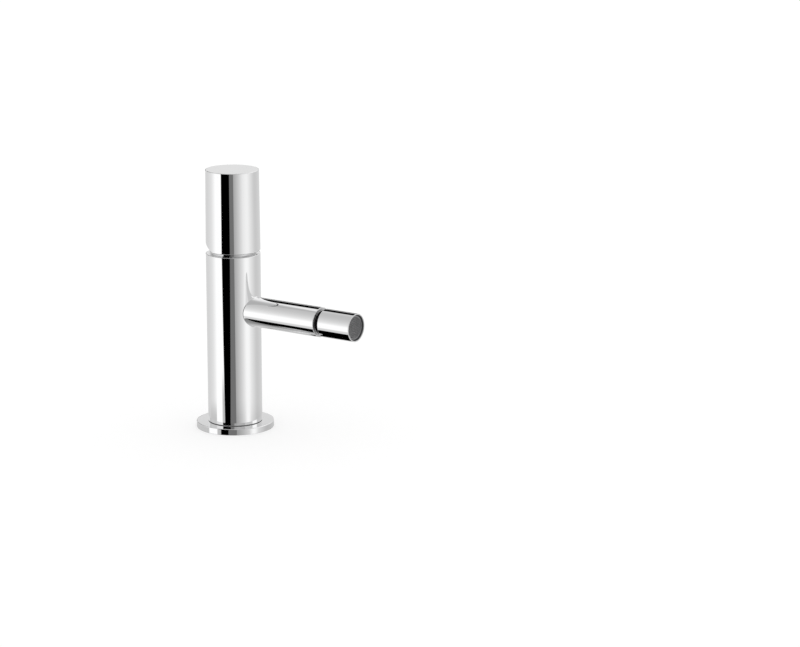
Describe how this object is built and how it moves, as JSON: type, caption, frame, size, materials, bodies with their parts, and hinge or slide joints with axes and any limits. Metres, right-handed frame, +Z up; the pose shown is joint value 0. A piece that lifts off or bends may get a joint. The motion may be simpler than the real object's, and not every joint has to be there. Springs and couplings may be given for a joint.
{
  "type": "bidet mixer",
  "caption": "Single-lever deck mixer for a bidet: round column on a flange, straight spout with a ball-jointed aerator nozzle, tall round handle that turns and tilts back.",
  "frame": {"origin": "centre of the flange's underside, on the body's axis, in the deck plane", "axes": "+Z up along the body's axis, +X out along the spout; the part is mirror symmetric about the XZ plane"},
  "size_m": [0.1214, 0.05, 0.1689],
  "materials": {
    "chrome_plate": "polished chrome plate on brass",
    "brass": "turned, unplated",
    "black_rubber": "moulded, matt",
    "white_acetal": "moulded, satin",
    "disc_ceramic": "lapped alumina",
    "steel": "turned stainless steel",
    "grey_nylon": "moulded, matt",
    "dark_acetal": "moulded, satin",
    "screen_steel": "fine perforated screen"
  },
  "bodies": {
    "mixer_body": {"body": "chrome_plate", "spout_tube": "chrome_plate", "base_flange": "chrome_plate", "base_gasket": "black_rubber", "foot_ring": "black_rubber", "seal_hot": "black_rubber", "seal_cold": "black_rubber", "seal_outlet": "black_rubber", "cartridge_base": "white_acetal", "base_oring": "black_rubber", "fixed_disc": "disc_ceramic", "cartridge_housing": "white_acetal", "retaining_nut": "brass", "trim_collar": "chrome_plate", "ball_retainer": "dark_acetal"},
    "turret_body": {"turret": "white_acetal", "turret_oring": "black_rubber", "pivot_pin": "steel"},
    "handle_body": {"lever": "steel", "handle": "chrome_plate", "handle_insert": "grey_nylon", "grub_screw": "steel"},
    "disc_body": {"moving_disc": "disc_ceramic", "disc_carrier": "white_acetal"},
    "slip_ring": {"ball_seat": "white_acetal", "ball_oring": "black_rubber"},
    "nozzle_body": {"swivel_ball": "dark_acetal", "nozzle_shell": "chrome_plate", "aerator_seal": "black_rubber", "aerator_housing": "dark_acetal", "aerator_screen": "screen_steel"}
  },
  "joints": [
    {"name": "handle_turn", "type": "hinge", "parent": "mixer_body", "child": "turret_body", "pos_m": [0, 0, 0.1117], "axis": [0, 0, 1], "range_deg": [-45, 45]},
    {"name": "handle_tilt", "type": "hinge", "parent": "turret_body", "child": "handle_body", "pos_m": [0, 0, 0.1177], "axis": [0, -1, 0], "range_deg": [0, 25]},
    {"name": "disc_slide", "type": "slide", "parent": "turret_body", "child": "disc_body", "axis": [1, 0, 0], "range_m": [0, 0.0051]},
    {"name": "nozzle_spin", "type": "hinge", "parent": "mixer_body", "child": "slip_ring", "pos_m": [0.061, 0, 0.0781], "axis": [1, 0, 0], "continuous": true},
    {"name": "nozzle_tilt", "type": "hinge", "parent": "slip_ring", "child": "nozzle_body", "pos_m": [0.061, 0, 0.0781], "axis": [0, 1, 0], "range_deg": [-14, 14]}
  ],
  "couplings": [
    {"joint": "disc_slide", "follows": "handle_tilt", "m_per_rad": 0.011623}
  ]
}
